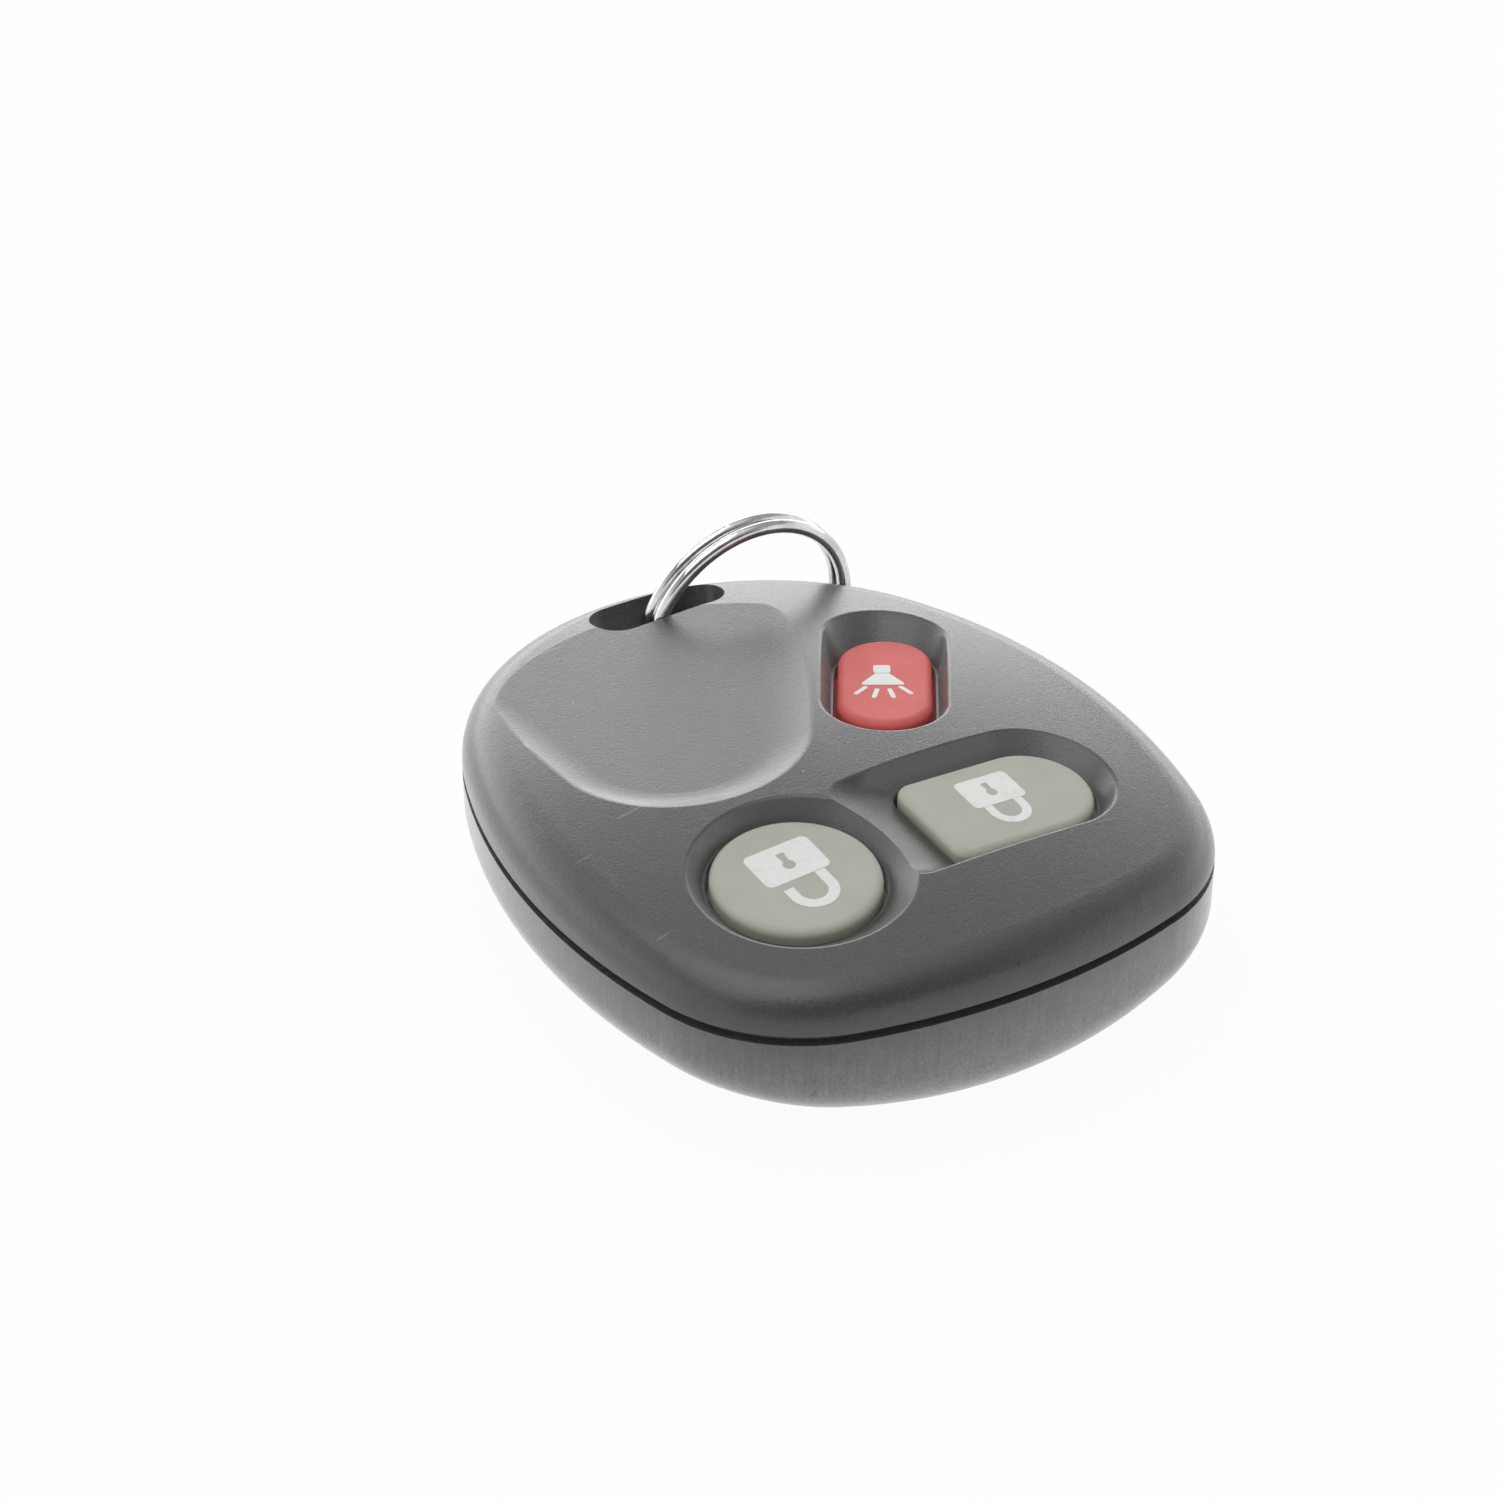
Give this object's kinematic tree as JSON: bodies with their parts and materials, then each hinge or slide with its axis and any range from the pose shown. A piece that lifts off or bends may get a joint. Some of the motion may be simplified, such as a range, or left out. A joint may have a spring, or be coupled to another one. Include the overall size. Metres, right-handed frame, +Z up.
{
  "type": "remote key fob",
  "caption": "Rounded two-shell remote key fob with sunk push buttons, a thumb scoop and a split key ring through its end slot.",
  "frame": {"origin": "on the flat rest face under the belly, midway between the two ends and the two sides of the shells", "axes": "+Y towards the key ring end, +X to the right seen from above, +Z up through the buttons"},
  "size_m": [0.0476, 0.0564, 0.0195],
  "materials": {
    "casing": "fine moulded grain",
    "seal": "matt",
    "green_key": "soft satin",
    "red_key": "soft satin",
    "silicone": "matt",
    "board": "solder mask",
    "switch_case": "moulded",
    "plunger": "moulded",
    "cell_steel": "nickel plated",
    "contact_metal": "plated spring metal",
    "chip_case": "moulded epoxy",
    "can_metal": "plated",
    "ceramic": "ceramic",
    "copper": "tinned copper",
    "ring_nickel": "bright nickel plate"
  },
  "bodies": {
    "fob": {"top_casing": "casing", "bottom_casing": "casing", "parting_seal": "seal", "keypad_sheet": "silicone", "circuit_board": "board", "unlock_switch": "switch_case", "lock_switch": "switch_case", "panic_switch": "switch_case", "coin_cell": "cell_steel", "cell_strap": "contact_metal", "cell_contact": "contact_metal", "encoder_chip": "chip_case", "resonator_can": "can_metal", "tuning_trimmer": "ceramic", "antenna_loop": "copper", "chip_resistors": "chip_case", "chip_capacitors": "ceramic"},
    "unlock_key": {"unlock_button": "green_key", "unlock_plunger": "plunger"},
    "lock_key": {"lock_button": "green_key", "lock_plunger": "plunger"},
    "panic_key": {"panic_button": "red_key", "panic_plunger": "plunger"},
    "key_ring": {"split_ring": "ring_nickel"}
  },
  "joints": [
    {"name": "unlock_press", "type": "slide", "parent": "fob", "child": "unlock_key", "axis": [0, 0, -1], "range_m": [0, 0.0004], "stiffness_N_per_m": 2500},
    {"name": "lock_press", "type": "slide", "parent": "fob", "child": "lock_key", "axis": [0, 0, -1], "range_m": [0, 0.0004], "stiffness_N_per_m": 2500},
    {"name": "panic_press", "type": "slide", "parent": "fob", "child": "panic_key", "axis": [0, 0, -1], "range_m": [0, 0.0004], "stiffness_N_per_m": 2500},
    {"name": "ring_swing", "type": "hinge", "parent": "fob", "child": "key_ring", "pos_m": [0.0008, 0.0234, 0.0105], "axis": [0, 0, 1], "range_deg": [0, 165]}
  ]
}
